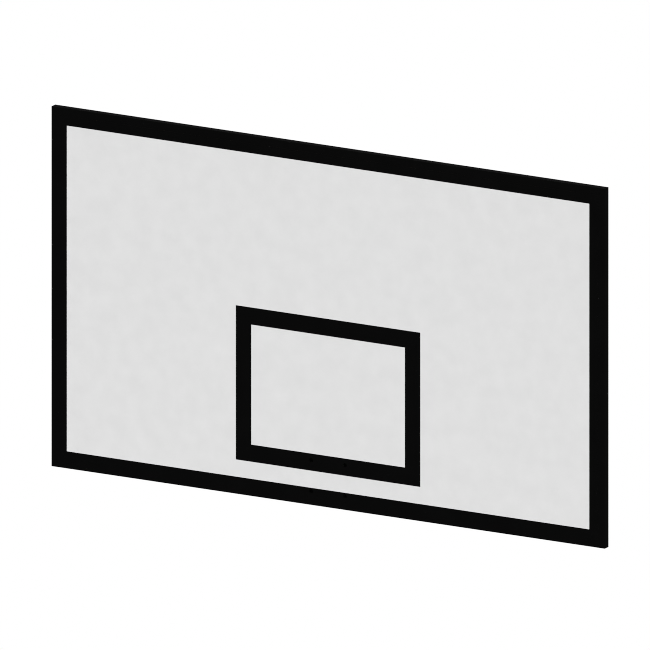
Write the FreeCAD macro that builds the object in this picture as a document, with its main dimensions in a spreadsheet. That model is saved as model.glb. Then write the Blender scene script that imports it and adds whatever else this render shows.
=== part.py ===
import FreeCAD, Part
import os
import re
import Sketcher

# A rectangular basketball backboard: a faced plywood board with taped lines and a flush edge channel,
# bolted from behind to a welded frame of rolled angle that carries the ring plate and two hanger bars.
# +X is to the right of someone facing the board, +Y runs from the playing face to the rear, +Z is up.
# The origin is the centre of the four support slots, on the rear face of the hanger bars.
# A depth is a distance in front of that rear face, so a depth of 10 lies at Y = -10.

# Driving sizes in millimetres: name, value, meaning
SIZES = (
    # Board
    ("board_width", 1800, "width over the edge channels"),
    ("board_height", 1050, "height over the edge channels"),
    ("core_thick", 21, "plywood core"),
    ("sheet_thick", 0.5, "laminate sheet on each side of the core"),
    # Lines on the playing face
    ("line_width", 50, "border and target lines, the lip of the channel included"),
    ("line_film", 0.15, "thickness of the line film"),
    ("target_width", 600, "outside width of the target"),
    ("target_height", 450, "outside height of the target"),
    ("ring_level", 150, "ring plane and top of the target's base line above the board's lower edge"),
    # Edge channel
    ("channel_wall", 2, "wall of the edge channel"),
    ("channel_lip", 22, "width of its lips over the web"),
    ("channel_corner", 0.5, "outer corner radius"),
    ("channel_fit", 0.1, "glue line between channel and board"),
    ("mitre_gap", 0.2, "joint between two mitred channels"),
    # Screws in the rear lips
    ("screw_shank", 3.5, "shank diameter"),
    ("lip_land", 0.25, "straight wall left under the countersink"),
    ("screw_point", 3, "length of the point"),
    ("screw_cover", 5.4, "wood left in front of the pilot hole"),
    ("screw_corner", 70, "first screw from the board's corner"),
    ("screw_fit", 0.1, "clearance round the screw"),
    # Angle frame
    ("frame_inset", 60, "frame inside the board's edge"),
    ("angle_leg", 50, "leg of the rolled angle"),
    ("angle_wall", 5, "thickness of its legs"),
    ("angle_root", 7, "root radius between the legs"),
    ("angle_toe", 3.5, "toe radius at the end of a leg"),
    ("weld_gap", 0.3, "root gap of a welded joint"),
    ("foot_clear", 3, "uprights and ring plate above the rear lip"),
    # Hanger bars and support slots
    ("support_pitch_wide", 400, "support slots, sideways"),
    ("support_pitch_high", 600, "support slots, upwards"),
    ("slot_length", 30, "support slot, overall"),
    ("slot_width", 13, "support slot for a 12 mm bolt"),
    ("bar_thick", 6, "flat bar"),
    ("bar_height", 60, "width of the flat bar"),
    ("bar_end", 50, "bar beyond the slot's centre"),
    ("bar_corner", 5, "rounded corner of the bar"),
    ("upright_offset", 50, "heel of an upright inside the slot's centre"),
    # Ring plate and the sleeves in the board
    ("ring_pitch_wide", 110, "ring bolts, sideways"),
    ("ring_pitch_high", 90, "ring bolts, upwards"),
    ("ring_hole", 13, "hole for a 12 mm ring bolt"),
    ("film_trim", 0.3, "line film left over the edge of a ring hole"),
    ("ring_drop", 65, "centre of the ring bolts below the ring plane"),
    ("plate_thick", 6, "folded ring plate"),
    ("plate_margin", 45, "plate above the upper ring bolts"),
    ("plate_bend", 6, "inside bend radius"),
    ("flange_setback", 4, "flange short of the uprights' rear edge"),
    ("sleeve_wall", 3.5, "wall of a spacer sleeve"),
    ("sleeve_fit", 0.1, "clearance round a sleeve"),
    # Board bolts, washers and threaded inserts
    ("bolt_shank", 8, "bolt diameter"),
    ("bolt_flats", 13, "across the flats of the head"),
    ("bolt_head", 5.3, "height of the head"),
    ("bolt_hole", 9, "hole in the angle"),
    ("bolt_gauge", 28, "bolt line from the heel of the angle"),
    ("bolt_corner", 70, "first bolt from a corner or a crossing"),
    ("bolt_foot", 30, "lowest bolt above the upright's foot"),
    ("bolt_fit", 0.1, "clearance round the thread"),
    ("bolt_spare", 1.6, "thread of the insert left free in front of the bolt"),
    ("washer_outer", 16, "washer diameter"),
    ("washer_hole", 8.4, "washer bore"),
    ("washer_thick", 1.6, "washer thickness"),
    ("insert_outer", 12, "threaded insert diameter"),
    ("insert_fit", 0.1, "clearance round the insert"),
    ("insert_cover", 4, "wood left in front of the insert's hole"),
    ("drill_spare", 1.5, "blind hole beyond what sits in it"),
    # All cuts
    ("overrun", 1, "cutting outline beyond the material"),
)

# Counts, angles and shares
LONG_SCREWS = 6
SHORT_SCREWS = 4
STILE_BOLTS = 3
COUNTERSINK_ANGLE = 90
HEAD_CHAMFER_ANGLE = 30
HEAD_FACE_SHARE = 0.95
SAME_PLACE = 1e-4

# Depths of the board's layers
BACK = "(bar_thick + angle_leg)"
CORE_BACK = f"({BACK} + sheet_thick)"
CORE_FRONT = f"({CORE_BACK} + core_thick)"
FRONT = f"({CORE_FRONT} + sheet_thick)"
REBATE = "(channel_wall + channel_fit - sheet_thick)"
TONGUE = f"({FRONT} - {BACK} - 2*channel_wall - 2*channel_fit)"

# Half sizes of the board, its core and the field between the lips
EDGE_X = "(board_width/2)"
EDGE_Z = "(board_height/2)"
CORE_X = f"({EDGE_X} - channel_wall - channel_fit)"
CORE_Z = f"({EDGE_Z} - channel_wall - channel_fit)"
LIP_X = f"({EDGE_X} - channel_lip)"
LIP_Z = f"({EDGE_Z} - channel_lip)"
FIELD_X = f"({LIP_X} - channel_fit)"
FIELD_Z = f"({LIP_Z} - channel_fit)"
LINE_X = f"({EDGE_X} - line_width)"
LINE_Z = f"({EDGE_Z} - line_width)"

# Target, seen from the front
TARGET_X = "(target_width/2)"
TARGET_SIDE_X = f"({TARGET_X} - line_width)"
BASE_TOP = f"(ring_level - {EDGE_Z})"
BASE_LOW = f"({BASE_TOP} - line_width)"
TARGET_TOP = f"({BASE_LOW} + target_height)"
TARGET_SILL = f"({TARGET_TOP} - line_width)"

# Frame: outer edges, heels of the angles and the foot of the uprights
FRAME_X = f"({EDGE_X} - frame_inset)"
FRAME_Z = f"({EDGE_Z} - frame_inset)"
HEEL_X = f"({FRAME_X} - angle_leg)"
HEEL_Z = f"({FRAME_Z} - angle_leg)"
UPRIGHT_X = "(support_pitch_wide/2 - upright_offset)"
UPRIGHT_TOE = f"({UPRIGHT_X} + angle_leg)"
FOOT_Z = f"({LIP_Z} - foot_clear)"

# Ring bolts and ring plate
RING_X = "(ring_pitch_wide/2)"
RING_Z = f"({BASE_TOP} - ring_drop)"
RING_HIGH = f"({RING_Z} + ring_pitch_high/2)"
RING_LOW = f"({RING_Z} - ring_pitch_high/2)"
PLATE_TOP = f"({RING_HIGH} + plate_margin)"
FILM_HOLE = "(ring_hole - 2*film_trim)"

# Fasteners
INSERT_HOLE = "(sheet_thick + core_thick - insert_cover)"
INSERT_LENGTH = f"({INSERT_HOLE} - drill_spare)"
BOLT_SEAT = f"({BACK} - angle_wall - washer_thick)"
BOLT_LENGTH = f"({INSERT_LENGTH} - bolt_spare + angle_wall + washer_thick)"
BOLT_RADIUS = "(bolt_flats/sqrt(3))"
PILOT_DEPTH = f"({TONGUE} - screw_cover)"
SINK_DEPTH = "(channel_wall - lip_land)"
SCREW_HEAD = f"(screw_shank + 2*{SINK_DEPTH})"
SCREW_LENGTH = f"(channel_wall + channel_fit + {PILOT_DEPTH} - drill_spare)"
SCREW_X = f"({EDGE_X} - (channel_wall + channel_lip)/2)"
SCREW_Z = f"({EDGE_Z} - (channel_wall + channel_lip)/2)"

AXIS_X = FreeCAD.Vector(1, 0, 0)
AXIS_Y = FreeCAD.Vector(0, 1, 0)
AXIS_Z = FreeCAD.Vector(0, 0, 1)

doc = FreeCAD.newDocument("Backboard")
sheet = doc.addObject("Spreadsheet::Sheet", "Sizes")
for row, (name, value, meaning) in enumerate(SIZES, start=1):
    sheet.set(f"A{row}", name)
    sheet.set(f"B{row}", str(value))
    sheet.setAlias(f"B{row}", name)
    sheet.set(f"C{row}", meaning)
doc.recompute()

NAMES = {name for name, value, meaning in SIZES}
parts = []


# Formulas

def cells(formula):
    """A formula in size names as an expression on the sheet's cells."""
    return re.sub(r"[a-z_]\w+", lambda word: f"Sizes.{word[0]}" if word[0] in NAMES else word[0], formula)


def number(formula):
    """The present value of a formula."""
    return float(sheet.evalExpression(cells(formula)))


def spread(half, count):
    """Formulas for places spread evenly from -half to half."""
    return [f"{half}*({2*step - count + 1})/{count - 1}" for step in range(count)]


def both_sides(x, z):
    """One place and its mirror image on the other side of the board."""
    return [(x, z), (f"-{x}", z)]


# Sketches

def sketch_on(body, name, role, offset="0"):
    """A new sketch on one of the body's own origin planes, moved along that plane's normal."""
    sketch = body.newObject("Sketcher::SketchObject", name)
    plane = next(feature for feature in body.Origin.OriginFeatures if feature.Role == role)
    sketch.AttachmentSupport = [(plane, "")]
    sketch.MapMode = "FlatFace"
    sketch.setExpression("AttachmentOffset.Base.z", cells(offset))
    return sketch


def front_sketch(body, name, depth="0"):
    """A new sketch in the plane of the board at a depth, with X across and Z up."""
    return sketch_on(body, name, "XZ_Plane", depth)


def dimension(sketch, constraint, formula):
    """Add a dimension that follows a formula."""
    index = sketch.addConstraint(constraint)
    sketch.setExpression(f"Constraints[{index}]", cells(formula))


def pin(sketch, geometry, point, formula, across):
    """Hold one coordinate of a point at a formula's value from the sketch's origin."""
    value = number(formula)
    if abs(value) < SAME_PLACE:
        axis = -2 if across else -1
        sketch.addConstraint(Sketcher.Constraint("PointOnObject", geometry, point, axis))
    else:
        kind = "DistanceX" if across else "DistanceY"
        dimension(sketch, Sketcher.Constraint(kind, -1, 1, geometry, point, value), formula)


def outline(sketch, corners):
    """A closed outline of straight lines through corners that are pairs of formulas."""
    points = [FreeCAD.Vector(number(x), number(y), 0) for x, y in corners]
    first = sketch.GeometryCount
    count = len(corners)
    for index in range(count):
        sketch.addGeometry(Part.LineSegment(points[index], points[(index + 1) % count]))
    for index in range(count):
        line = first + index
        following = first + (index + 1) % count
        sketch.addConstraint(Sketcher.Constraint("Coincident", line, 2, following, 1))
    for index, (x, y) in enumerate(corners):
        line = first + index
        last_x, last_y = corners[index - 1]
        next_x, next_y = corners[(index + 1) % count]
        if x == next_x:
            sketch.addConstraint(Sketcher.Constraint("Vertical", line))
        if y == next_y:
            sketch.addConstraint(Sketcher.Constraint("Horizontal", line))
        if x != last_x:
            pin(sketch, line, 1, x, across=True)
        if y != last_y:
            pin(sketch, line, 1, y, across=False)


def rectangle(sketch, left, right, low, high):
    """An upright rectangle between four formulas."""
    outline(sketch, [(left, low), (right, low), (right, high), (left, high)])


def centred(sketch, half_width, half_height):
    """A rectangle about the sketch's origin."""
    rectangle(sketch, f"-{half_width}", half_width, f"-{half_height}", half_height)


def circles(sketch, places, diameter):
    """Equal circles at places that are pairs of formulas."""
    for x, y in places:
        centre = FreeCAD.Vector(number(x), number(y), 0)
        circle = sketch.addGeometry(Part.Circle(centre, AXIS_Z, number(diameter)/2))
        pin(sketch, circle, 3, x, across=True)
        pin(sketch, circle, 3, y, across=False)
        dimension(sketch, Sketcher.Constraint("Diameter", circle, number(diameter)), diameter)


def level_slot(sketch, x, y, length, width):
    """A slot with round ends that lies across the sketch, about a centre."""
    half = f"(({length} - {width})/2)"
    radius = number(width)/2
    lift = FreeCAD.Vector(0, radius, 0)
    ends = [FreeCAD.Vector(number(f"{x} {sign} {half}"), number(y), 0) for sign in "-+"]
    arcs = []
    for end, side in zip(ends, (-1, 1)):
        outer = end + FreeCAD.Vector(side*radius, 0, 0)
        arcs.append(sketch.addGeometry(Part.Arc(end - side*lift, outer, end + side*lift)))
    left, right = arcs
    low = sketch.addGeometry(Part.LineSegment(ends[0] - lift, ends[1] - lift))
    high = sketch.addGeometry(Part.LineSegment(ends[1] + lift, ends[0] + lift))
    joints = ((left, 2, low, 1), (low, 2, right, 1), (right, 2, high, 1), (high, 2, left, 1))
    for joint in joints:
        sketch.addConstraint(Sketcher.Constraint("Tangent", *joint))
    sketch.addConstraint(Sketcher.Constraint("Horizontal", low))
    pin(sketch, left, 3, f"{x} - {half}", across=True)
    pin(sketch, right, 3, f"{x} + {half}", across=True)
    pin(sketch, left, 3, y, across=False)
    dimension(sketch, Sketcher.Constraint("Radius", left, radius), f"{width}/2")


# Features

def pad(body, sketch, length, symmetric=False, rearward=False):
    """Extrude a sketch along its normal, which for a front sketch points to the front."""
    feature = body.newObject("PartDesign::Pad", f"{sketch.Name}_pad")
    feature.Profile = sketch
    feature.setExpression("Length", cells(length))
    feature.SideType = "Symmetric" if symmetric else "One side"
    feature.Reversed = rearward
    doc.recompute()
    return feature


def cut(body, sketch, length=None):
    """Cut a front sketch towards the front, to a length or right through."""
    before = body.Shape.Volume
    feature = body.newObject("PartDesign::Pocket", f"{sketch.Name}_cut")
    feature.Profile = sketch
    feature.Reversed = True
    if length is None:
        feature.Type = "ThroughAll"
    else:
        feature.setExpression("Length", cells(length))
    doc.recompute()
    if not body.Shape.Volume < before:
        raise RuntimeError(f"{feature.Name} removes nothing from {body.Label}")
    return feature


def drill(body, name, depth, places, diameter, length=None):
    """Cut round holes at places in the plane of the board."""
    sketch = front_sketch(body, name, depth)
    circles(sketch, places, diameter)
    return cut(body, sketch, length)


def revolve(body, kind, name, corners):
    """Turn an outline of radius and Y round the Y axis, as a Revolution or a Groove."""
    sketch = sketch_on(body, name, "XY_Plane")
    outline(sketch, corners)
    feature = body.newObject(f"PartDesign::{kind}", f"{name}_turned")
    feature.Profile = sketch
    feature.ReferenceAxis = (sketch, ["V_Axis"])
    feature.Angle = 360
    doc.recompute()
    return feature


def long_edges(body, axis, places):
    """Names of the body's straight edges that run along an axis through the given points."""
    names = []
    for index, edge in enumerate(body.Shape.Edges, start=1):
        start, end = edge.Vertexes[0].Point, edge.Vertexes[-1].Point
        straight = (end - start).cross(axis).Length < SAME_PLACE
        if straight and any((start - place).cross(axis).Length < SAME_PLACE for place in places):
            names.append(f"Edge{index}")
    return names


def round_edges(body, name, axis, places, radius):
    """Fillet the long edges that pass through the given points."""
    edges = long_edges(body, axis, places)
    base = body.Tip
    feature = body.newObject("PartDesign::Fillet", name)
    feature.Base = (base, edges)
    feature.setExpression("Radius", cells(radius))
    doc.recompute()
    return feature


def sub_part(label):
    """A new body that is one of the backboard's pieces."""
    body = doc.addObject("PartDesign::Body", label)
    parts.append(body)
    return body


def mirror(source, label, normal):
    """The opposite-hand twin of a piece, across the origin plane with that normal."""
    twin = doc.addObject("Part::Mirroring", label)
    twin.Source = source
    twin.Normal = normal
    parts.append(twin)
    return twin


def group(label, master, places, depth):
    """Copies of one fastener at places in the plane of the board, all at one depth."""
    links = []
    for index, (x, z) in enumerate(places, start=1):
        link = doc.addObject("App::Link", f"{label}_{index}")
        link.LinkedObject = master
        link.setExpression("Placement.Base.x", cells(x))
        link.setExpression("Placement.Base.y", cells(f"-{depth}"))
        link.setExpression("Placement.Base.z", cells(z))
        links.append(link)
    compound = doc.addObject("Part::Compound", label)
    compound.Links = links
    parts.append(compound)
    return compound


def mitre(body, along_x, ends, corner, reach, gap):
    """Cut the ends of a bar at 45 degrees through a corner of its rectangle, half the joint's gap back."""
    run, side = corner if along_x else corner[::-1]
    set_back = f"({gap}/sqrt(2))"
    inner = f"({reach} + overrun)"
    quad = (
        (f"({run} - {set_back} + overrun)", f"({side} + overrun)"),
        (f"({run} - {set_back} - {inner})", f"({side} - {inner})"),
        (f"({run} + overrun)", f"({side} - {inner})"),
        (f"({run} + overrun)", f"({side} + overrun)"),
    )
    sketch = front_sketch(body, "mitres")
    for sign_x, sign_z in ends:
        turned = [pair if along_x else pair[::-1] for pair in quad]
        outline(sketch, [(f"{sign_x}{x}", f"{sign_z}{z}") for x, z in turned])
    return cut(body, sketch)


# Places of the fasteners, as pairs of X and Z

RING_PLACES = both_sides(RING_X, RING_HIGH) + both_sides(RING_X, RING_LOW)

RAIL_LINE = f"({HEEL_Z} + bolt_gauge)"
STILE_LINE = f"({HEEL_X} + bolt_gauge)"
UPRIGHT_LINE = f"({UPRIGHT_X} + bolt_gauge)"
RAIL_END = f"({FRAME_X} - bolt_corner)"
STILE_END = f"({FRAME_Z} - bolt_corner)"
CROSSING = f"({HEEL_Z} - bolt_corner)"

RAIL_PLACES = [(x, RAIL_LINE) for x in (f"({UPRIGHT_TOE} + bolt_corner)", RAIL_END)]
LOW_RAIL_PLACES = [(x, f"-{z}") for x, z in RAIL_PLACES]
MIDDLE_RAIL_PLACES = both_sides(f"({UPRIGHT_X} - bolt_corner)", RAIL_LINE)
STILE_PLACES = [(STILE_LINE, z) for z in spread(STILE_END, STILE_BOLTS)]
UPRIGHT_HEIGHTS = (RAIL_LINE, CROSSING, "0", f"-{CROSSING}", f"(bolt_foot - {FOOT_Z})")
UPRIGHT_PLACES = [(UPRIGHT_LINE, z) for z in UPRIGHT_HEIGHTS]

BOLT_PLACES = list(MIDDLE_RAIL_PLACES)
for place in RAIL_PLACES + LOW_RAIL_PLACES + STILE_PLACES + UPRIGHT_PLACES:
    BOLT_PLACES += both_sides(*place)

LONG_SCREW_PLACES = [(x, SCREW_Z) for x in spread(f"({EDGE_X} - screw_corner)", LONG_SCREWS)]
SHORT_SCREW_PLACES = [(SCREW_X, z) for z in spread(f"({EDGE_Z} - screw_corner)", SHORT_SCREWS)]
SCREW_PLACES = LONG_SCREW_PLACES + [(x, f"-{z}") for x, z in LONG_SCREW_PLACES]
for place in SHORT_SCREW_PLACES:
    SCREW_PLACES += both_sides(*place)


# Board

def make_core():
    """Plywood core with a rebate on both faces for the channel's lips."""
    core = sub_part("core_panel")
    blank = front_sketch(core, "core_blank", CORE_BACK)
    centred(blank, CORE_X, CORE_Z)
    pad(core, blank, "core_thick")
    for name, depth in (("rear_rebate", CORE_BACK), ("front_rebate", f"({CORE_FRONT} - {REBATE})")):
        rebate = front_sketch(core, name, depth)
        centred(rebate, f"({CORE_X} + overrun)", f"({CORE_Z} + overrun)")
        centred(rebate, FIELD_X, FIELD_Z)
        cut(core, rebate, REBATE)
    drill(core, "sleeve_holes", BACK, RING_PLACES, "(ring_hole + 2*sleeve_wall + 2*sleeve_fit)")
    drill(core, "insert_holes", BACK, BOLT_PLACES, "(insert_outer + 2*insert_fit)", INSERT_HOLE)
    pilot_depth = f"({BACK} + channel_wall + channel_fit)"
    drill(core, "pilot_holes", pilot_depth, SCREW_PLACES, "(screw_shank + 2*screw_fit)", PILOT_DEPTH)


def make_sheet(label, depth):
    """Laminate sheet that fills the field between the lips on one side of the core."""
    laminate = sub_part(label)
    blank = front_sketch(laminate, f"{label}_blank", depth)
    centred(blank, FIELD_X, FIELD_Z)
    pad(laminate, blank, "sheet_thick")
    return laminate


def make_sheets():
    """Playing-face sheet with the ring holes, and back sheet that lets inserts and sleeves through."""
    face = make_sheet("face_sheet", CORE_FRONT)
    drill(face, "face_ring_holes", BACK, RING_PLACES, "ring_hole")
    back = make_sheet("back_sheet", BACK)
    drill(back, "back_sleeve_holes", BACK, RING_PLACES, "(ring_hole + 2*sleeve_wall + 2*sleeve_fit)")
    drill(back, "back_insert_holes", BACK, BOLT_PLACES, "(insert_outer + 2*insert_fit)")


def line_strip(label, left, right, low, high):
    """One straight strip of line film on the playing face."""
    strip = sub_part(label)
    blank = front_sketch(strip, f"{label}_blank", FRONT)
    rectangle(blank, left, right, low, high)
    pad(strip, blank, "line_film")
    return strip


def make_lines():
    """Border and target lines, butted at their corners; the ring bolts pass through the two low strips."""
    line_strip("border_line_top", f"-{FIELD_X}", FIELD_X, LINE_Z, FIELD_Z)
    border_low = line_strip("border_line_bottom", f"-{FIELD_X}", FIELD_X, f"-{FIELD_Z}", f"-{LINE_Z}")
    drill(border_low, "border_ring_holes", BACK, both_sides(RING_X, RING_LOW), FILM_HOLE)
    border_side = line_strip("border_line_right", LINE_X, FIELD_X, f"-{LINE_Z}", LINE_Z)
    mirror(border_side, "border_line_left", AXIS_X)
    line_strip("target_line_top", f"-{TARGET_X}", TARGET_X, TARGET_SILL, TARGET_TOP)
    base = line_strip("target_line_bottom", f"-{TARGET_X}", TARGET_X, BASE_LOW, BASE_TOP)
    drill(base, "target_ring_holes", BACK, both_sides(RING_X, RING_HIGH), FILM_HOLE)
    target_side = line_strip("target_line_right", TARGET_SIDE_X, TARGET_X, BASE_TOP, TARGET_SILL)
    mirror(target_side, "target_line_left", AXIS_X)


# Edge channel

def countersink(channel, places):
    """Countersunk screw holes in the rear lip of a channel."""
    sketch = front_sketch(channel, "screw_centres", BACK)
    circles(sketch, places, "screw_shank")
    doc.recompute()
    before = channel.Shape.Volume
    hole = channel.newObject("PartDesign::Hole", "screw_holes")
    hole.Profile = sketch
    hole.Reversed = True
    hole.ThreadType = "None"
    hole.setExpression("Diameter", cells("screw_shank + 2*screw_fit"))
    hole.DepthType = "Dimension"
    hole.setExpression("Depth", cells("channel_wall + channel_fit"))
    hole.DrillPoint = "Flat"
    hole.HoleCutType = "Countersink"
    hole.HoleCutCustomValues = True
    hole.setExpression("HoleCutDiameter", cells(f"{SCREW_HEAD} + 2*screw_fit"))
    hole.HoleCutCountersinkAngle = COUNTERSINK_ANGLE
    doc.recompute()
    if not channel.Shape.Volume < before:
        raise RuntimeError(f"{hole.Name} removes nothing from {channel.Label}")


def make_channel(label, along_x, places):
    """Extruded edge channel, open towards the middle of the board, mitred at both ends."""
    channel = sub_part(label)
    edge, lip, length = (EDGE_Z, LIP_Z, "board_width") if along_x else (EDGE_X, LIP_X, "board_height")
    front, back = f"-{FRONT}", f"-{BACK}"
    front_inside, back_inside = f"(channel_wall - {FRONT})", f"-({BACK} + channel_wall)"
    web = f"({edge} - channel_wall)"
    section = [
        (front, edge), (back, edge), (back, lip), (back_inside, lip),
        (back_inside, web), (front_inside, web), (front_inside, lip), (front, lip),
    ]
    if not along_x:
        section = [pair[::-1] for pair in section]
    sketch = sketch_on(channel, f"{label}_section", "YZ_Plane" if along_x else "XY_Plane")
    outline(sketch, section)
    pad(channel, sketch, length, symmetric=True)
    outward = AXIS_Z if along_x else AXIS_X
    corners = [AXIS_Y*number(y) + outward*number(edge) for y in (front, back)]
    round_edges(channel, "outer_corners", AXIS_X if along_x else AXIS_Z, corners, "channel_corner")
    ends = [("", ""), ("-", "")] if along_x else [("", ""), ("", "-")]
    mitre(channel, along_x, ends, (EDGE_X, EDGE_Z), "channel_lip", "mitre_gap")
    countersink(channel, places)
    return channel


def make_channels():
    """The four channels round the board."""
    top = make_channel("edge_channel_top", True, LONG_SCREW_PLACES)
    mirror(top, "edge_channel_bottom", AXIS_Z)
    right = make_channel("edge_channel_right", False, SHORT_SCREW_PLACES)
    mirror(right, "edge_channel_left", AXIS_X)


# Angle frame

def roll_angle(label, along_x, heel, sign, start, length, symmetric=False):
    """Length of rolled angle with one leg flat on the board and the other standing at the heel."""
    angle = sub_part(label)
    back, flat, toe = f"-{BACK}", f"(angle_wall - {BACK})", "-bar_thick"
    inside, tip = f"({heel} {sign} angle_wall)", f"({heel} {sign} angle_leg)"
    section = [(back, heel), (toe, heel), (toe, inside), (flat, inside), (flat, tip), (back, tip)]
    if not along_x:
        section = [pair[::-1] for pair in section]
    sketch = sketch_on(angle, f"{label}_section", "YZ_Plane" if along_x else "XY_Plane", start)
    outline(sketch, section)
    pad(angle, sketch, length, symmetric)
    run, across = (AXIS_X, AXIS_Z) if along_x else (AXIS_Z, AXIS_X)
    root = [AXIS_Y*number(flat) + across*number(inside)]
    toes = [AXIS_Y*number(toe) + across*number(inside), AXIS_Y*number(flat) + across*number(tip)]
    round_edges(angle, "root_radius", run, root, "angle_root")
    round_edges(angle, "toe_radii", run, toes, "angle_toe")
    return angle


def cope(rail):
    """Notch a side rail, so that it reaches over the upright's flat leg and clears its root."""
    foot = "(angle_wall + weld_gap)"
    left, low, high = f"({UPRIGHT_X} - overrun)", f"({HEEL_Z} - overrun)", f"({FRAME_Z} + overrun)"
    notches = (
        ("flat_leg_cope", foot, f"({UPRIGHT_TOE} + weld_gap)"),
        ("root_cope", f"({foot} + angle_root)", f"({UPRIGHT_X} + {foot} + angle_root)"),
    )
    for name, rise, right in notches:
        notch = front_sketch(rail, name, f"({BACK} - {rise})")
        rectangle(notch, left, right, low, high)
        cut(rail, notch)


def make_frame():
    """Mitred perimeter, crossed by two uprights and open between their feet for the ring plate."""
    corner = (FRAME_X, FRAME_Z)
    start = f"({UPRIGHT_X} + angle_wall + weld_gap)"
    rail = roll_angle("frame_rail_top_right", True, HEEL_Z, "+", start, f"{FRAME_X} - {start}")
    mitre(rail, True, [("", "")], corner, "angle_leg", "weld_gap")
    cope(rail)
    drill(rail, "rail_bolt_holes", "0", RAIL_PLACES, "bolt_hole")
    low_rail = mirror(rail, "frame_rail_bottom_right", AXIS_Z)
    mirror(rail, "frame_rail_top_left", AXIS_X)
    mirror(low_rail, "frame_rail_bottom_left", AXIS_X)

    length = f"2*({UPRIGHT_X} - weld_gap)"
    middle_rail = roll_angle("frame_rail_top", True, HEEL_Z, "+", "0", length, symmetric=True)
    drill(middle_rail, "middle_rail_bolt_holes", "0", MIDDLE_RAIL_PLACES, "bolt_hole")

    stile = roll_angle("frame_stile_right", False, HEEL_X, "+", "0", f"2*{FRAME_Z}", symmetric=True)
    mitre(stile, False, [("", ""), ("", "-")], corner, "angle_leg", "weld_gap")
    drill(stile, "stile_bolt_holes", "0", STILE_PLACES, "bolt_hole")
    mirror(stile, "frame_stile_left", AXIS_X)

    height = f"{FRAME_Z} + {FOOT_Z}"
    upright = roll_angle("upright_right", False, UPRIGHT_X, "+", f"-{FOOT_Z}", height)
    drill(upright, "upright_bolt_holes", "0", UPRIGHT_PLACES, "bolt_hole")
    mirror(upright, "upright_left", AXIS_X)


def make_hanger_bars():
    """Flat bars across the uprights with the slots for the support's bolts."""
    bar = sub_part("hanger_bar_upper")
    sketch = front_sketch(bar, "bar_blank")
    centre = "(support_pitch_high/2)"
    half = "(support_pitch_wide/2 + bar_end)"
    low, high = f"({centre} - bar_height/2)", f"({centre} + bar_height/2)"
    rectangle(sketch, f"-{half}", half, low, high)
    pad(bar, sketch, "bar_thick")
    corners = []
    for x in (f"-{half}", half):
        corners += [AXIS_X*number(x) + AXIS_Z*number(z) for z in (low, high)]
    round_edges(bar, "bar_corners", AXIS_Y, corners, "bar_corner")
    slots = front_sketch(bar, "support_slots")
    for x in ("-(support_pitch_wide/2)", "(support_pitch_wide/2)"):
        level_slot(slots, x, centre, "slot_length", "slot_width")
    cut(bar, slots)
    mirror(bar, "hanger_bar_lower", AXIS_Z)


def make_ring_plate():
    """Plate folded at its top, welded between the uprights behind the ring bolts."""
    plate = sub_part("ring_plate")
    back, face = f"-{BACK}", f"(plate_thick - {BACK})"
    edge = "-(bar_thick + flange_setback)"
    foot, under = f"-{FOOT_Z}", f"({PLATE_TOP} - plate_thick)"
    sketch = sketch_on(plate, "plate_section", "YZ_Plane")
    upright_part = [(back, foot), (face, foot), (face, under)]
    flange = [(edge, under), (edge, PLATE_TOP), (back, PLATE_TOP)]
    outline(sketch, upright_part + flange)
    pad(plate, sketch, f"2*({UPRIGHT_X} - weld_gap)", symmetric=True)
    inside = [AXIS_Y*number(face) + AXIS_Z*number(under)]
    outside = [AXIS_Y*number(back) + AXIS_Z*number(PLATE_TOP)]
    round_edges(plate, "inside_bend", AXIS_X, inside, "plate_bend")
    round_edges(plate, "outside_bend", AXIS_X, outside, "plate_bend + plate_thick")
    drill(plate, "plate_ring_holes", "0", RING_PLACES, "ring_hole")


# Fasteners, each made once at the origin with its axis along Y and its seat at Y = 0

def tube(label, outer, inner, length):
    """A plain ring or sleeve that reaches forward from its seat."""
    body = doc.addObject("PartDesign::Body", label)
    sketch = front_sketch(body, f"{label}_ring")
    circles(sketch, [("0", "0")], outer)
    circles(sketch, [("0", "0")], inner)
    pad(body, sketch, length)
    return body


def hex_bolt():
    """Hexagon bolt with a chamfered head behind its seat and a shank in front of it."""
    bolt = doc.addObject("PartDesign::Body", "hex_bolt")
    head = front_sketch(bolt, "bolt_hexagon")
    half, side = "(bolt_flats/2)", f"({BOLT_RADIUS}/2)"
    right = [(side, f"-{half}"), (BOLT_RADIUS, "0"), (side, half)]
    outline(head, right + [(f"-{side}", half), (f"-{BOLT_RADIUS}", "0"), (f"-{side}", f"-{half}")])
    pad(bolt, head, "bolt_head", rearward=True)
    shank = front_sketch(bolt, "bolt_shank_round")
    circles(shank, [("0", "0")], "bolt_shank")
    pad(bolt, shank, BOLT_LENGTH)
    face, rim = f"({HEAD_FACE_SHARE}*{half})", f"({BOLT_RADIUS} + overrun)"
    slope = f"(bolt_head - ({rim} - {face})*tan({HEAD_CHAMFER_ANGLE}))"
    revolve(bolt, "Groove", "head_chamfer", [(face, "bolt_head"), (rim, slope), (rim, "bolt_head")])
    return bolt


def countersunk_screw():
    """Countersunk screw with a conical point."""
    screw = doc.addObject("PartDesign::Body", "countersunk_screw")
    head, shank = f"({SCREW_HEAD}/2)", "(screw_shank/2)"
    neck, shoulder = f"-{SINK_DEPTH}", f"(screw_point - {SCREW_LENGTH})"
    profile = [("0", "0"), (head, "0"), (shank, neck), (shank, shoulder), ("0", f"-{SCREW_LENGTH}")]
    revolve(screw, "Revolution", "screw_profile", profile)
    return screw


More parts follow.
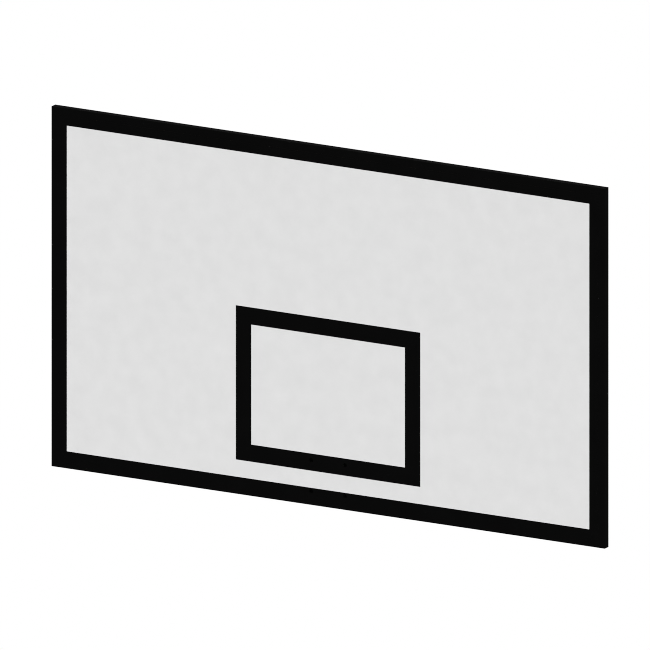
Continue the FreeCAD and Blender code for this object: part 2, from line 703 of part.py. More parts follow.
def make_fasteners():
    """The groups of equal fasteners."""
    group("channel_screws", countersunk_screw(), SCREW_PLACES, BACK)
    sleeve = tube("spacer_sleeve", "(ring_hole + 2*sleeve_wall)", "ring_hole", "core_thick + sheet_thick")
    group("ring_sleeves", sleeve, RING_PLACES, BACK)
    insert = tube("threaded_insert", "insert_outer", "(bolt_shank + 2*bolt_fit)", INSERT_LENGTH)
    group("threaded_inserts", insert, BOLT_PLACES, BACK)
    washer = tube("washer", "washer_outer", "washer_hole", "washer_thick")
    group("frame_washers", washer, BOLT_PLACES, BOLT_SEAT)
    group("frame_bolts", hex_bolt(), BOLT_PLACES, BOLT_SEAT)


def check_and_write():
    """Stop on any failed object, then write each piece to its own file."""
    doc.recompute()
    for item in doc.Objects:
        if {"Invalid", "Error"} & set(item.State):
            raise RuntimeError(f"{item.Label} failed: {item.State}")
    for piece in parts:
        if piece.Shape.isNull() or not piece.Shape.isValid():
            raise RuntimeError(f"{piece.Label} has no valid shape")
    os.makedirs("parts", exist_ok=True)
    for piece in parts:
        piece.Shape.exportStep(f"parts/{piece.Label}.step")
        print(f"{piece.Label}: {len(piece.Shape.Solids)} solids, {piece.Shape.Volume:.1f} mm3")


make_core()
make_sheets()
make_lines()
make_channels()
make_frame()
make_hanger_bars()
make_ring_plate()
make_fasteners()
check_and_write()
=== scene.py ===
"""Looks of a basketball backboard: its finishes, weld beads and lip screws, the studio and the view.

Lengths are in metres in the CAD model's frame, and the angles of lights and view are in degrees.
"""

import functools
import logging
import math
from abc import ABC, abstractmethod
from collections.abc import Callable
from dataclasses import dataclass
from enum import Enum

import bmesh
import bpy
from mathutils import Matrix, Vector


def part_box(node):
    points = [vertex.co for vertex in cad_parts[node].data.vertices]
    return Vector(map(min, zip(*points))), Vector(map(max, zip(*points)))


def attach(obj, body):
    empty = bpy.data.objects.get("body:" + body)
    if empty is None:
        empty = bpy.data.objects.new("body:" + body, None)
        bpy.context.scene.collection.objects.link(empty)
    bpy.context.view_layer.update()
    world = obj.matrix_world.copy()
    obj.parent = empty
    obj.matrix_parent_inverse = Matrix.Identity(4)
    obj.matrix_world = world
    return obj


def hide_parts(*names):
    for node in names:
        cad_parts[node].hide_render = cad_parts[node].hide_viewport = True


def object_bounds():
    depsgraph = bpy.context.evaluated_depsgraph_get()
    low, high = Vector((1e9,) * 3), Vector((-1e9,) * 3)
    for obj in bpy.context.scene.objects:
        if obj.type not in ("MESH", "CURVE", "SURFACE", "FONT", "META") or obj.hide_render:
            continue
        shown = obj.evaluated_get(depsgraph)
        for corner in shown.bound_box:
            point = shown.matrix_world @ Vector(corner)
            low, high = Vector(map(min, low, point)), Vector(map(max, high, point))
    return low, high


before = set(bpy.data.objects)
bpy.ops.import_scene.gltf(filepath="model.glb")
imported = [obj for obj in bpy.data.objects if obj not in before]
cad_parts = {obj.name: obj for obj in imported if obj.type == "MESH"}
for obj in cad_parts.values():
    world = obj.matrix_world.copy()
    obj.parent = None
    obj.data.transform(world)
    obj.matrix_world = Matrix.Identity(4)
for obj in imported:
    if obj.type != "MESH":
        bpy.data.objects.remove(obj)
CAD_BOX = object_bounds()

BODY = "root"
SAME_POINT = 1e-6
QUARTER_TURN = math.pi/2
SIDES = ("top", "bottom", "left", "right")

Colour = tuple[float, float, float]
Lengths = tuple[float, float, float]
Socket = bpy.types.NodeSocket
Value = float | Colour | Socket

WHITE: Colour = (1.0, 1.0, 1.0)
RIGHT, REAR, UP = Vector((1, 0, 0)), Vector((0, 1, 0)), Vector((0, 0, 1))

log = logging.getLogger("backboard")


class Slot(Enum):
    """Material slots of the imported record."""

    PLYWOOD = "plywood"
    FACE = "face_laminate"
    BACK = "back_laminate"
    LINE = "line_film"
    CHANNEL = "edge_channel"
    SCREW = "black_screw"
    SLEEVE = "black_sleeve"
    FRAME = "galvanised_steel"
    BOLT = "zinc_bolt"
    INSERT = "insert_steel"


class Joint(Enum):
    """How a weld joins two pieces of steel."""

    FILLET = "in the corner between two faces"
    BUTT = "along the seam between two level faces"


# Finishes


class Graph:
    """Node graph of one material, with short calls for the nodes that several finishes share."""

    def __init__(self, name: str) -> None:
        """Start a material with a principled shader and the piece's own coordinates.

        Args:
            name: name of the new material.
        """
        self.material = bpy.data.materials.new(name)
        self.material.use_nodes = True
        self.nodes = self.material.node_tree.nodes
        self.links = self.material.node_tree.links
        self.shader = self.nodes["Principled BSDF"]
        self.points = self.add("ShaderNodeTexCoord").outputs["Object"]

    def feed(self, socket: Socket, value: Value) -> None:
        """Link a socket to an output, or set it to a plain value.

        Args:
            socket: input to feed.
            value: output of another node, number or colour.
        """
        if isinstance(value, bpy.types.NodeSocket):
            self.links.new(value, socket)
        elif socket.type == "RGBA":
            socket.default_value = (*value, 1.0)
        else:
            socket.default_value = value

    def add(self, kind: str, inputs: dict[str | int, Value] | None = None, **settings: str) -> bpy.types.Node:
        """Add a node.

        Args:
            kind: Blender's name for the node.
            inputs: values or outputs for its sockets, by name or index.
            settings: its own options.

        Returns:
            The new node.
        """
        node = self.nodes.new(kind)
        for option, choice in settings.items():
            setattr(node, option, choice)
        for key, value in (inputs or {}).items():
            self.feed(node.inputs[key], value)
        return node

    def surface(self, **values: Value) -> None:
        """Feed the principled shader.

        Args:
            values: values by socket name, in lower case with underscores.
        """
        sockets = {socket.name.lower().replace(" ", "_"): socket for socket in self.shader.inputs}
        for name, value in values.items():
            self.feed(sockets[name], value)

    def stretched(self, size: Lengths) -> Socket:
        """Coordinates in which a pattern's unit measures a length of its own along each axis.

        Args:
            size: the three lengths in metres.

        Returns:
            The scaled coordinates.
        """
        scale = tuple(1/length for length in size)
        return self.add("ShaderNodeMapping", {"Vector": self.points, "Scale": scale}).outputs["Vector"]

    def noise(self, size: float, detail: float = 2.0, points: Socket | None = None) -> Socket:
        """Cloudy noise.

        Args:
            size: size of a cloud in metres, or in the units of the given points.
            detail: octaves of finer noise on top.
            points: coordinates other than the piece's own.

        Returns:
            Values from 0 to 1.
        """
        inputs = {"Vector": points or self.points, "Scale": 1/size, "Detail": detail}
        return self.add("ShaderNodeTexNoise", inputs).outputs[0]

    def mixed(self, factor: Value, first: Value, second: Value) -> Socket:
        """A colour between two colours.

        Args:
            factor: 0 for the first, 1 for the second.
            first: one colour.
            second: the other colour.

        Returns:
            The mixed colour.
        """
        return self.add("ShaderNodeMix", {0: factor, 6: first, 7: second}, data_type="RGBA").outputs[2]

    def between(self, value: Socket, low: float, high: float) -> Socket:
        """A value from 0 to 1 moved to lie between two numbers.

        Args:
            value: the value.
            low: result at 0.
            high: result at 1.

        Returns:
            The moved value.
        """
        inputs = {"Value": value, "To Min": low, "To Max": high}
        return self.add("ShaderNodeMapRange", inputs).outputs["Result"]

    def calculated(self, operation: str, first: Value, second: Value = 0.0) -> Socket:
        """One sum on two values.

        Args:
            operation: Blender's name for the sum.
            first: one value.
            second: the other value.

        Returns:
            The result.
        """
        return self.add("ShaderNodeMath", {0: first, 1: second}, operation=operation).outputs["Value"]

    def feathered(self, size: float, reach: float) -> Socket:
        """Coordinates pushed about by noise, so that the edges of a pattern turn ragged.

        Args:
            size: size of the noise in metres.
            reach: furthest push in metres.

        Returns:
            The pushed coordinates.
        """
        push = self.add("ShaderNodeTexNoise", {"Vector": self.points, "Scale": 1/size}).outputs["Color"]
        inputs = {0: push, 1: (reach, reach, reach), 2: self.points}
        return self.add("ShaderNodeVectorMath", inputs, operation="MULTIPLY_ADD").outputs["Vector"]

    def crystals(self, size: float, points: Socket) -> tuple[Socket, Socket, Socket]:
        """Irregular cells that fill the surface.

        Args:
            size: size of a cell in metres.
            points: coordinates in which they lie.

        Returns:
            Two chance values, each the same all over a cell, and the distance from its middle.
        """
        cells = self.add("ShaderNodeTexVoronoi", {"Vector": points, "Scale": 1/size})
        chance = self.add("ShaderNodeSeparateColor", {"Color": cells.outputs["Color"]}).outputs
        return chance["Red"], chance["Green"], cells.outputs["Distance"]

    def level_faces(self, least: float = 0.5) -> Socket:
        """Tell faces that look to the front or rear from cut edges.

        Args:
            least: part of a face's unit normal that has to point to the front or rear.

        Returns:
            1 on such faces, 0 on cut edges.
        """
        normal = self.add("ShaderNodeNewGeometry").outputs["True Normal"]
        depth = self.add("ShaderNodeSeparateXYZ", {"Vector": normal}).outputs["Y"]
        return self.calculated("GREATER_THAN", self.calculated("ABSOLUTE", depth), least)

    def relief(self, height: Socket, depth: float) -> None:
        """Give the surface a fine relief.

        Args:
            height: pattern from 0 to 1.
            depth: height of the pattern in metres.
        """
        bump = self.add("ShaderNodeBump", {"Height": height, "Distance": depth})
        self.surface(normal=bump.outputs["Normal"])


def shades(colour: Colour, share: float) -> tuple[Colour, Colour]:
    """Two shades of a colour.

    Args:
        colour: the colour between them.
        share: how much darker and lighter they are, as a share of the colour.

    Returns:
        The darker and the lighter shade.
    """
    dark = tuple(channel*(1 - share) for channel in colour)
    pale = tuple(channel*(1 + share) for channel in colour)
    return dark, pale


@dataclass(frozen=True)
class Finish(ABC):
    """A surface finish for one of the record's slots."""

    slot: Slot
    colour: Colour

    @abstractmethod
    def paint(self, graph: Graph) -> None:
        """Build the finish in a new material's graph."""

    @functools.cached_property
    def material(self) -> bpy.types.Material:
        """The finish as a material, made at its first use.

        Returns:
            The material.
        """
        graph = Graph(self.slot.value)
        self.paint(graph)
        return graph.material


@dataclass(frozen=True)
class Laminate(Finish):
    """Pressed laminate: a faintly clouded, finely grained face on a dark paper core."""

    cloud_size: float = 0.045
    cloud_detail: float = 4.0
    cloud_share: float = 0.052
    grain_size: float = 0.0012
    grain_detail: float = 3.0
    grain_depth: float = 0.00002
    rough: tuple[float, float] = (0.42, 0.56)
    gloss_size: float = 0.02
    specular: float = 0.25
    core: Colour = (0.030, 0.021, 0.015)

    def paint(self, graph: Graph) -> None:
        """Cloud the face, darken the cut edge and press the grain.

        Args:
            graph: graph of the new material.
        """
        clouds = graph.noise(self.cloud_size, self.cloud_detail)
        face = graph.mixed(clouds, *shades(self.colour, self.cloud_share))
        graph.surface(
            base_color=graph.mixed(graph.level_faces(), self.core, face),
            roughness=graph.between(graph.noise(self.gloss_size), *self.rough),
            specular_ior_level=self.specular,
        )
        graph.relief(graph.noise(self.grain_size, self.grain_detail), self.grain_depth)


@dataclass(frozen=True)
class BlackCoat(Finish):
    """Matt black film or powder coat with a slight drift in tone and a fine skin."""

    drift_size: float = 0.09
    drift_detail: float = 3.0
    drift_share: float = 0.2
    skin_size: float = 0.0016
    skin_depth: float = 0.00002
    rough: tuple[float, float] = (0.70, 0.85)
    specular: float = 0.004

    def paint(self, graph: Graph) -> None:
        """Drift the tone and raise the skin.

        Args:
            graph: graph of the new material.
        """
        drift = graph.noise(self.drift_size, self.drift_detail)
        graph.surface(
            base_color=graph.mixed(drift, *shades(self.colour, self.drift_share)),
            roughness=graph.between(drift, *self.rough),
            specular_ior_level=self.specular,
        )
        graph.relief(graph.noise(self.skin_size), self.skin_depth)


@dataclass(frozen=True)
class Galvanised(Finish):
    """Hot-dip zinc: feathered crystals of differing grey and gloss under a dull bloom."""

    spangle_size: float = 0.012
    needle_size: float = 0.0045
    needle_share: float = 0.4
    feather_size: float = 0.003
    feather_reach: float = 0.004
    tone_share: float = 0.3
    bloom_size: float = 0.11
    bloom_detail: float = 5.0
    bloom_colour: Colour = (0.50, 0.51, 0.52)
    bloom_cover: tuple[float, float] = (0.0, 0.8)
    rough: tuple[float, float] = (0.34, 0.58)
    crystal_depth: float = 0.0001

    def paint(self, graph: Graph) -> None:
        """Grow large crystals and the needles in them, then lay the bloom over both.

        Args:
            graph: graph of the new material.
        """
        feathered = graph.feathered(self.feather_size, self.feather_reach)
        spangle, gloss, slope = graph.crystals(self.spangle_size, feathered)
        needle, _, _ = graph.crystals(self.needle_size, feathered)
        tones = shades(self.colour, self.tone_share)
        zinc = graph.mixed(self.needle_share, graph.mixed(spangle, *tones), graph.mixed(needle, *tones))
        bloom = graph.between(graph.noise(self.bloom_size, self.bloom_detail), *self.bloom_cover)
        graph.surface(
            base_color=graph.mixed(bloom, zinc, self.bloom_colour),
            roughness=graph.between(gloss, *self.rough),
            metallic=1.0,
        )
        graph.relief(slope, self.crystal_depth)


@dataclass(frozen=True)
class Plated(Finish):
    """Bright zinc plating with a faint change of hue and fine tool marks."""

    tint: Colour = (0.60, 0.58, 0.51)
    tint_size: float = 0.009
    tint_detail: float = 3.0
    mark_size: float = 0.0006
    mark_detail: float = 1.0
    mark_depth: float = 0.000005
    rough: tuple[float, float] = (0.20, 0.38)

    def paint(self, graph: Graph) -> None:
        """Tint the plating and mark it.

        Args:
            graph: graph of the new material.
        """
        hue = graph.noise(self.tint_size, self.tint_detail)
        marks = graph.noise(self.mark_size, self.mark_detail)
        graph.surface(
            base_color=graph.mixed(hue, self.colour, self.tint),
            roughness=graph.between(marks, *self.rough),
            metallic=1.0,
        )
        graph.relief(marks, self.mark_depth)


@dataclass(frozen=True)
class Plywood(Finish):
    """Birch plies, each second one showing its darker end grain on a cut edge."""

    ply: float = 0.0014
    end_grain: Colour = (0.36, 0.22, 0.11)
    end_grain_share: float = 0.5
    fibre: Lengths = (0.12, 0.0006, 0.006)
    fibre_detail: float = 4.0
    fibre_share: float = 0.3
    fibre_depth: float = 0.00005
    rough: float = 0.62

    def paint(self, graph: Graph) -> None:
        """Stack the plies and run the fibres along the board.

        Args:
            graph: graph of the new material.
        """
        depth = graph.add("ShaderNodeSeparateXYZ", {"Vector": graph.points}).outputs["Y"]
        stack = graph.calculated("PINGPONG", graph.calculated("DIVIDE", depth, self.ply), 1.0)
        crosswise = graph.calculated("GREATER_THAN", stack, 1 - self.end_grain_share)
        plies = graph.mixed(crosswise, self.colour, self.end_grain)
        fibres = graph.noise(1.0, self.fibre_detail, graph.stretched(self.fibre))
        worn = graph.mixed(self.fibre_share, plies, graph.mixed(fibres, self.end_grain, self.colour))
        graph.surface(base_color=worn, roughness=self.rough)
        graph.relief(fibres, self.fibre_depth)


FACE_LAMINATE = Laminate(Slot.FACE, (0.732, 0.732, 0.732))
BACK_LAMINATE = Laminate(Slot.BACK, (0.60, 0.60, 0.585), cloud_share=0.04)
LINE_FILM = BlackCoat(Slot.LINE, (0.0028, 0.0028, 0.0028))
CHANNEL_COAT = BlackCoat(Slot.CHANNEL, (0.0028, 0.0028, 0.0028), skin_size=0.0024, skin_depth=0.00004)
SCREW_COAT = BlackCoat(Slot.SCREW, (0.012, 0.012, 0.013), drift_size=0.004, rough=(0.35, 0.5), specular=0.3)
SLEEVE_COAT = BlackCoat(Slot.SLEEVE, (0.004, 0.004, 0.004), drift_size=0.01)
GALVANISED = Galvanised(Slot.FRAME, (0.46, 0.475, 0.49))
ZINC_PLATING = Plated(Slot.BOLT, (0.57, 0.585, 0.60))
INSERT_PLATING = Plated(Slot.INSERT, (0.58, 0.55, 0.44))
BIRCH_PLY = Plywood(Slot.PLYWOOD, (0.62, 0.45, 0.27))


# Pieces


def dress(node: str, finish: Finish) -> None:
    """Give a CAD node its finish.

    Args:
        node: name of the node.
        finish: finish for all its faces.
    """
    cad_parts[node].material_slots[0].material = finish.material
    log.info("%s: %s", node, finish.slot.value)


def make_object(name: str, shape: bmesh.types.BMesh, material: bpy.types.Material) -> bpy.types.Object:
    """Turn a finished bmesh into an object of the scene.

    Args:
        name: name of the object.
        shape: its mesh, in place, which is freed.
        material: material of all its faces.

    Returns:
        The new object.
    """
    mesh = bpy.data.meshes.new(name)
    shape.to_mesh(mesh)
    shape.free()
    mesh.materials.append(material)
    made = bpy.data.objects.new(name, mesh)
    bpy.context.scene.collection.objects.link(made)
    return made


def add_piece(name: str, shape: bmesh.types.BMesh, finish: Finish) -> bpy.types.Object:
    """Turn a finished bmesh into a piece of the backboard.

    Args:
        name: name of the piece.
        shape: its mesh, in place, which is freed.
        finish: its finish.

    Returns:
        The new piece.
    """
    piece = make_object(name, shape, finish.material)
    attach(piece, BODY)
    log.info("%s: %d faces, %s", name, len(piece.data.polygons), finish.slot.value)
    return piece


def gather(shapes: list[bmesh.types.BMesh]) -> bmesh.types.BMesh:
    """Join several bmeshes in one and free them.

    Args:
        shapes: the bmeshes.

    Returns:
        One bmesh that holds them all.
    """
    whole = bmesh.new()
    carrier = bpy.data.meshes.new("carrier")
    for shape in shapes:
        shape.to_mesh(carrier)
        shape.free()
        whole.from_mesh(carrier)
    bpy.data.meshes.remove(carrier)
    return whole


def solids_of(node: str) -> list[tuple[Vector, Vector]]:
    """Boxes of the separate solids that share a node.

    Args:
        node: name of the node.

    Returns:
        Lowest and highest corner of each solid.
    """
    shape = bmesh.new()
    shape.from_mesh(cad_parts[node].data)
    bmesh.ops.remove_doubles(shape, verts=shape.verts, dist=SAME_POINT)
    boxes, seen = [], set()
    for first in shape.verts:
        if first in seen:
            continue
        island, front = {first}, {first}
        while front:
            near = {link.other_vert(vert) for vert in front for link in vert.link_edges}
            front = near - island
            island |= near
        seen |= island
        axes = list(zip(*(vert.co for vert in island)))
        boxes.append((Vector(map(min, axes)), Vector(map(max, axes))))
    shape.free()
    return boxes


def extrude_ring(shape: bmesh.types.BMesh, ring: list[bmesh.types.BMEdge]) -> list[bmesh.types.BMEdge]:
    """Extrude a closed ring of edges, the new ring still lying on the old one.

    Args:
        shape: bmesh that holds the ring.
        ring: its edges.

    Returns:
        Edges of the new ring.
    """
    made = bmesh.ops.extrude_edge_only(shape, edges=ring)["geom"]
    verts = {item for item in made if isinstance(item, bmesh.types.BMVert)}
    return [item for item in made if isinstance(item, bmesh.types.BMEdge) and verts.issuperset(item.verts)]


def ring_verts(ring: list[bmesh.types.BMEdge]) -> list[bmesh.types.BMVert]:
    """Vertices of a ring of edges, each once."""
    return list({vert for edge in ring for vert in edge.verts})


@dataclass
class Board:
    """Plywood core between its two laminates."""

    core: Finish = BIRCH_PLY
    face: Finish = FACE_LAMINATE
    back: Finish = BACK_LAMINATE

    def dress(self) -> None:
        """Dress the three sheets."""
        dress("core_panel", self.core)
        dress("face_sheet", self.face)
        dress("back_sheet", self.back)


@dataclass
class Lines:
    """Border and target lines of black film."""

    figures: tuple[str, ...] = ("border", "target")
    film: Finish = LINE_FILM

    def dress(self) -> None:
        """Dress the eight strips."""
        for figure in self.figures:
            for side in SIDES:
                dress(f"{figure}_line_{side}", self.film)


@dataclass
class EdgeTrim:
    """Black edge channel and the countersunk screws in its rear lips."""

    head_sides: int = 32
    shank_radius: float = 0.00175
    point_length: float = 0.003
    tip_radius: float = 0.0002
    arms: int = 4
    arm_reach: float = 0.0021
    arm_width: float = 0.0010
    recess_depth: float = 0.0014
    recess_taper_share: float = 0.5
    rim_round: float = 0.00012
    rim_steps: int = 2
    coat: Finish = CHANNEL_COAT
    screw_coat: Finish = SCREW_COAT

    def recess_outline(self, shape: bmesh.types.BMesh) -> list[bmesh.types.BMEdge]:
        """Draw the cross of the screwdriver recess in the plane of the head.

        Args:
            shape: bmesh that gets the cross.

        Returns:
            Its edges.
        """
        half = self.arm_width/2
        arm = [Vector((self.arm_reach, -half, 0)), Vector((self.arm_reach, half, 0)), Vector((half, half, 0))]
        turns = [Matrix.Rotation(math.tau*number/self.arms, 3, "Z") for number in range(self.arms)]
        verts = [shape.verts.new(turn @ corner) for turn in turns for corner in arm]
        return [shape.edges.new(pair) for pair in zip(verts, verts[1:] + verts[:1])]

    def screw(self, head_radius: float, length: float) -> bmesh.types.BMesh:
        """Model one screw with its head at the origin, facing the rear.

        Args:
            head_radius: radius of the head.
            length: length from head to point.

        Returns:
            The screw.
        """
        shape = bmesh.new()
        bmesh.ops.create_circle(shape, segments=self.head_sides, radius=head_radius)
        rim = list(shape.edges)
        cross = self.recess_outline(shape)
        bmesh.ops.triangle_fill(shape, edges=rim + cross, use_beauty=True, normal=(0, 0, 1))
        floor = extrude_ring(shape, cross)
        bmesh.ops.translate(shape, verts=ring_verts(floor), vec=(0, 0, -self.recess_depth))
        taper = self.recess_taper_share
        bmesh.ops.scale(shape, verts=ring_verts(floor), vec=(taper, taper, 1))
        bmesh.ops.contextual_create(shape, geom=floor)
        sink = head_radius - self.shank_radius
        stations = ((sink, self.shank_radius), (length - self.point_length, self.shank_radius),
                    (length, self.tip_radius))
        ring, depth, radius = rim, 0.0, head_radius
        for next_depth, next_radius in stations:
            ring = extrude_ring(shape, ring)
            bmesh.ops.translate(shape, verts=ring_verts(ring), vec=(0, 0, depth - next_depth))
            across = next_radius/radius
            bmesh.ops.scale(shape, verts=ring_verts(ring), vec=(across, across, 1))
            depth, radius = next_depth, next_radius
        bmesh.ops.contextual_create(shape, geom=ring)
        bmesh.ops.bevel(shape, geom=rim, offset=self.rim_round, affect="EDGES", segments=self.rim_steps,
                        profile=0.5, material=-1)
        bmesh.ops.recalc_face_normals(shape, faces=shape.faces)
        bmesh.ops.rotate(shape, verts=shape.verts, matrix=Matrix.Rotation(-QUARTER_TURN, 3, "X"))
        return shape

    def screws(self) -> bmesh.types.BMesh:
        """Model all the screws at the places of the CAD ones.

        Returns:
            The screws in place.
        """
        shapes = []
        for low, high in solids_of("channel_screws"):
            shape = self.screw((high.x - low.x)/2, high.y - low.y)
            place = Vector(((low.x + high.x)/2, high.y, (low.z + high.z)/2))
            bmesh.ops.translate(shape, verts=shape.verts, vec=place)
            shapes.append(shape)
        return gather(shapes)

    def build(self) -> None:
        """Dress the channels and set the screws."""
        for side in SIDES:
            dress(f"edge_channel_{side}", self.coat)
        piece = add_piece("lip_screws", self.screws(), self.screw_coat)
        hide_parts("channel_screws")


@dataclass
class Weld:
    """One straight weld along a joint.

    A fillet lies between two faces, given by their normals. A butt weld is given by the way across its
    seam and the normal of the two level faces.
    """

    start: Vector
    end: Vector
    first_face: Vector
    second_face: Vector
    leg: float
    joint: Joint = Joint.FILLET
    groove: float = 0.0

    @property
    def length(self) -> float:
        """Length of the weld."""
        return (self.end - self.start).length

    @property
    def direction(self) -> Vector:
        """Unit vector along the weld."""
        return (self.end - self.start).normalized()


@dataclass(frozen=True)
class BeadStyle:
    """How a weld bead is laid: a rippled strip with a bowed front."""

    arc_steps: int = 6
    dip_share: float = 0.22
    crown_share: float = 0.3
    sink: float = 0.0003
    ripple_pitch: float = 0.0022
    rings_per_ripple: int = 4
    ripple_share: float = 0.03
    wander_share: float = 0.04
    wander_turn: float = 0.37
    bow_share: float = 0.65
    end_rings: int = 5
    end_share: float = 0.45

    def section(self, weld: Weld) -> list[Vector]:
        """Cross-section at the start of a weld, its middle lagging behind its toes.

        Args:
            weld: the weld.

        Returns:
            Points round the section.
        """
        points = []
        for step in range(self.arc_steps + 1):
            share = step/self.arc_steps
            if weld.joint is Joint.FILLET:
                turn = share*QUARTER_TURN
                reach = weld.leg*(1 - self.dip_share*math.sin(2*turn))
                rise = reach
            else:
                turn = share*math.pi
                reach, rise = weld.leg, weld.leg*self.crown_share
            across = weld.first_face*reach*math.cos(turn) + weld.second_face*rise*math.sin(turn)
            lag = weld.direction*weld.leg*self.bow_share*math.sin(math.pi*share)
            points.append(weld.start + across - lag)
        seat = weld.second_face + (weld.first_face if weld.joint is Joint.FILLET else Vector())
        points.append(weld.start - seat*max(self.sink, weld.groove))
        return points

    def swell(self, ring: int, rings: int) -> float:
        """Size of one ring of the bead against its plain section.

        Args:
            ring: number of the ring.
            rings: number of the last ring.

        Returns:
            The share of the plain size.
        """
        ripple = self.ripple_share*math.sin(math.tau*ring/self.rings_per_ripple)
        wander = self.wander_share*math.sin(self.wander_turn*ring)
        from_end = min(ring, rings - ring, self.end_rings)/self.end_rings
        return (1 + ripple + wander)*(1 - self.end_share*(1 - from_end)**2)

    def lay(self, weld: Weld) -> bmesh.types.BMesh:
        """Model the bead of one weld.

        Args:
            weld: the weld.

        Returns:
            The bead in place.
        """
        shape = bmesh.new()
        verts = [shape.verts.new(point) for point in self.section(weld)]
        shape.faces.new(verts)
        ring = list(shape.edges)
        rings = math.ceil(weld.length*self.rings_per_ripple/self.ripple_pitch)
        pitch = weld.direction*(weld.length/rings)
        size = 1.0
        for number in range(rings + 1):
            if number:
                ring = extrude_ring(shape, ring)
                bmesh.ops.translate(shape, verts=ring_verts(ring), vec=pitch)
            wanted = self.swell(number, rings)
            centre = weld.start + pitch*number
            bmesh.ops.scale(shape, verts=ring_verts(ring), vec=(wanted/size,)*3,
                            space=Matrix.Translation(-centre))
            size = wanted
        bmesh.ops.contextual_create(shape, geom=ring)
        for face in shape.faces:
            face.smooth = True
        return shape


@dataclass
class SteelFrame:
    """Galvanised angle frame with hanger bars and ring plate, and the welds that join them."""

    members: tuple[str, ...] = (
        "frame_rail_top", "frame_rail_top_left", "frame_rail_top_right", "frame_rail_bottom_left",
        "frame_rail_bottom_right", "frame_stile_left", "frame_stile_right", "upright_left", "upright_right",
        "hanger_bar_upper", "hanger_bar_lower", "ring_plate",
    )
    wall: float = 0.005
    root: float = 0.007
    toe: float = 0.0035
    plate: float = 0.006
    bend: float = 0.006
    leg: float = 0.0045
    seam: float = 0.0038
    clear: float = 0.002
    toe_inset: float = 0.001
    bead: BeadStyle = BeadStyle()
    zinc: Finish = GALVANISED

    def inner_fillets(self, runs: tuple[tuple[Vector, Vector, Vector], ...]) -> list[Weld]:
        """Fillets on the right upright's inner side, from start, end and the other face's normal of each."""
        return [Weld(start, end, -RIGHT, normal, self.leg) for start, end, normal in runs]

    def corner_welds(self) -> list[Weld]:
        """Welds in the two mitred corners on the right.

        Returns:
            The welds.
        """
        stile_low, stile_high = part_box("frame_stile_right")
        rail_low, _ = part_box("frame_rail_top_right")
        back, rear = stile_low.y, stile_high.y
        welds = []
        for up in (1, -1):
            heel = Vector((stile_low.x, 0, rail_low.z*up))
            flat, outward = heel + REAR*(back + self.wall), RIGHT + UP*up
            inner = flat + outward*(self.wall + self.root)
            outer = flat + outward*(stile_high.x - stile_low.x - self.toe)
            across = (RIGHT - UP*up).normalized()
            welds.append(Weld(inner, outer, across, REAR, self.seam, Joint.BUTT))
            start, end = heel + REAR*(back + self.leg), heel + REAR*(rear - self.clear)
            welds.append(Weld(start, end, -RIGHT, -UP*up, self.leg))
        return welds

    def crossing_welds(self) -> list[Weld]:
        """Welds from the right upright to the side rails that reach over it at the top and at the foot.

        Returns:
            The welds.
        """
        low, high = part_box("upright_right")
        rail_low, rail_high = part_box("frame_rail_top_right")
        outside, flat = low.x + self.wall, low.y + self.wall
        welds = []
        for up in (1, -1):
            heel, inside = rail_low.z*up, (rail_low.z + self.wall)*up
            for z, outward, stop in ((heel, -up, self.clear), (inside, up, self.toe)):
                start, end = Vector((outside, flat + self.root, z)), Vector((outside, high.y - stop, z))
                welds.append(Weld(start, end, RIGHT, UP*outward, self.leg))
            start = Vector((high.x, flat, inside + self.root*up))
            end = Vector((high.x, flat, (rail_high.z - self.toe)*up))
            welds.append(Weld(start, end, RIGHT, REAR, self.seam, Joint.BUTT, self.toe))
        return welds

    def middle_welds(self) -> list[Weld]:
        """Welds from the right upright to the length of top rail between the uprights.

        Returns:
            The welds.
        """
        post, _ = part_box("upright_right")
        low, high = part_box("frame_rail_top")
        x, flat, inside = post.x, low.y + self.wall, low.z + self.wall
        return self.inner_fillets((
            (Vector((x, low.y + self.leg, low.z)), Vector((x, high.y - self.clear, low.z)), -UP),
            (Vector((x, flat + self.root, inside)), Vector((x, high.y - self.toe, inside)), UP),
            (Vector((x, flat, inside + self.root)), Vector((x, flat, high.z - self.toe)), REAR),
        ))

    def bar_welds(self) -> list[Weld]:
        """Welds along both sides of the right upright under each hanger bar, one set into its rounded toe.

        Returns:
            The welds.
        """
        post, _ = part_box("upright_right")
        welds = []
        for bar in ("hanger_bar_upper", "hanger_bar_lower"):
            low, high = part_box(bar)
            for x, side in ((post.x, -1), (post.x + self.wall - self.toe_inset, 1)):
                start = Vector((x, low.y, low.z + self.clear))
                end = Vector((x, low.y, high.z - self.clear))
                welds.append(Weld(start, end, RIGHT*side, -REAR, self.leg))
        return welds

    def plate_welds(self) -> list[Weld]:
        """Welds from the ring plate and its flange to the right upright.

        Returns:
            The welds.
        """
        post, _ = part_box("upright_right")
        low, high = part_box("ring_plate")
        x, face, under = post.x, low.y + self.plate, high.z - self.plate
        bent, edge = face + self.bend, high.y - self.clear
        return self.inner_fillets((
            (Vector((x, face, low.z + self.clear)), Vector((x, face, under - self.bend)), REAR),
            (Vector((x, bent, under)), Vector((x, edge, under)), -UP),
            (Vector((x, bent, high.z)), Vector((x, edge, high.z)), UP),
        ))

    def beads(self) -> bmesh.types.BMesh:
        """Lay the beads on the right and mirror them to the left.

        Returns:
            All the beads in place.
        """
        welds = self.corner_welds() + self.crossing_welds() + self.middle_welds()
        welds += self.bar_welds() + self.plate_welds()
        shape = gather([self.bead.lay(weld) for weld in welds])
        right_side = shape.verts[:] + shape.edges[:] + shape.faces[:]
        # A negative distance merges nothing.
        bmesh.ops.mirror(shape, geom=right_side, axis="X", merge_dist=-1)
        bmesh.ops.recalc_face_normals(shape, faces=shape.faces)
        return shape

    def build(self) -> None:
        """Dress the members and weld them."""
        for member in self.members:
            dress(member, self.zinc)
        add_piece("weld_beads", self.beads(), self.zinc)


